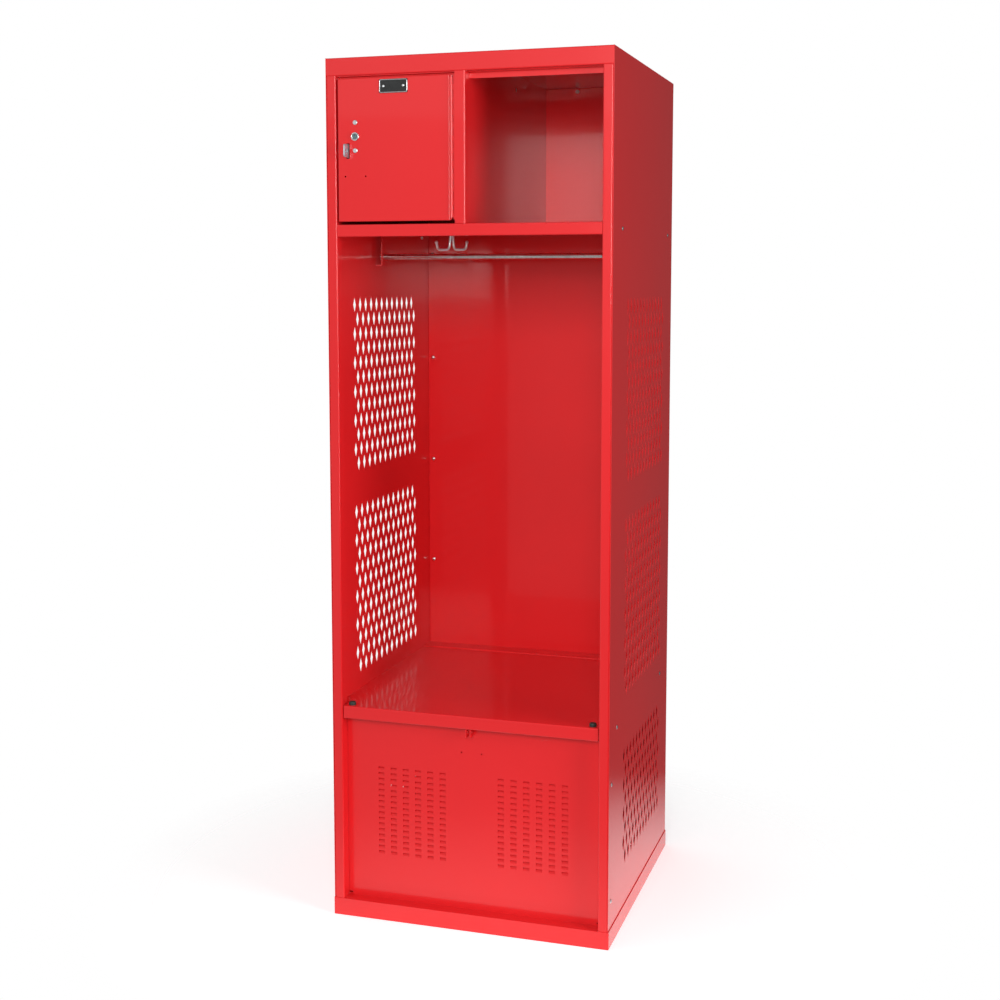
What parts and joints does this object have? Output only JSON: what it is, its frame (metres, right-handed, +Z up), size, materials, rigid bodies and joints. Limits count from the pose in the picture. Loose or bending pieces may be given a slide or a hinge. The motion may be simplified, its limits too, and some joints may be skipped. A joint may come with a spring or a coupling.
{
  "type": "school locker",
  "caption": "Open-front gear locker with perforated sides, a locking box, an open cubby, a coat rod and hook, and a bench lid over a louvred foot locker.",
  "frame": {"origin": "on the floor, under the middle of the locker's whole extent", "axes": "+X to the right seen from the front, +Y from the open front to the back, +Z up"},
  "size_m": [0.6136, 0.6336, 1.8288],
  "materials": {
    "red_enamel": "gloss powder coat",
    "zinc_steel": "zinc plated",
    "bright_steel": "bright",
    "black_plate": "black with a bare rim",
    "rubber": "matt"
  },
  "bodies": {
    "case": {"left_side_panel": "red_enamel", "right_side_panel": "red_enamel", "left_front_post": "red_enamel", "right_front_post": "red_enamel", "top_panel": "red_enamel", "back_panel": "red_enamel", "plinth": "red_enamel", "floor_pan": "red_enamel", "shelf": "red_enamel", "partition": "red_enamel", "partition_clip": "red_enamel", "box_top_stop": "red_enamel", "cubby_top_lip": "red_enamel", "door_hinge_frame_leaf": "red_enamel", "door_hinge_pin": "red_enamel", "box_staple": "zinc_steel", "coat_rod": "bright_steel", "left_rod_strap": "red_enamel", "right_rod_strap": "red_enamel", "ceiling_hook": "zinc_steel", "foot_locker_front": "red_enamel", "lid_hinge_back_leaf": "red_enamel", "lid_hinge_pin": "red_enamel", "front_hasp_tab": "red_enamel", "left_seat_ledge": "red_enamel", "right_seat_ledge": "red_enamel", "rear_ledge": "red_enamel", "shelf_bolts": "zinc_steel", "ledge_bolts": "zinc_steel", "front_bolts": "zinc_steel", "rear_bolts": "zinc_steel", "top_bolts": "zinc_steel", "clip_bolt": "zinc_steel", "rod_screws": "zinc_steel"},
    "box_door": {"box_door": "red_enamel", "door_hinge_door_leaf": "red_enamel", "name_plate": "black_plate", "name_plate_rivets": "zinc_steel", "lock_case": "bright_steel", "lock_rivets": "zinc_steel"},
    "lock_plug": {"lock_plug": "bright_steel"},
    "lock_bolt": {"lock_bolt": "zinc_steel"},
    "bench_lid": {"seat_lid": "red_enamel", "lid_hinge_lid_leaf": "red_enamel", "lid_hasp_tab": "red_enamel", "lid_bumpers": "rubber"}
  },
  "joints": [
    {"name": "box_door_swing", "type": "hinge", "parent": "case", "child": "box_door", "pos_m": [-0.0306, -0.2961, 1.64065], "axis": [0, 0, 1], "range_deg": [0, 170]},
    {"name": "lock_turn", "type": "hinge", "parent": "box_door", "child": "lock_plug", "pos_m": [-0.24, -0.2958, 1.6683], "axis": [0, 1, 0], "range_deg": [0, 90]},
    {"name": "bolt_throw", "type": "slide", "parent": "box_door", "child": "lock_bolt", "axis": [-1, 0, 0], "range_m": [0, 0.007]},
    {"name": "bench_lid_lift", "type": "hinge", "parent": "case", "child": "bench_lid", "pos_m": [0, 0.2558, 0.4653], "axis": [-1, 0, 0], "range_deg": [0, 95]}
  ],
  "couplings": [
    {"joint": "bolt_throw", "follows": "lock_turn", "m_per_rad": 0.004456}
  ]
}
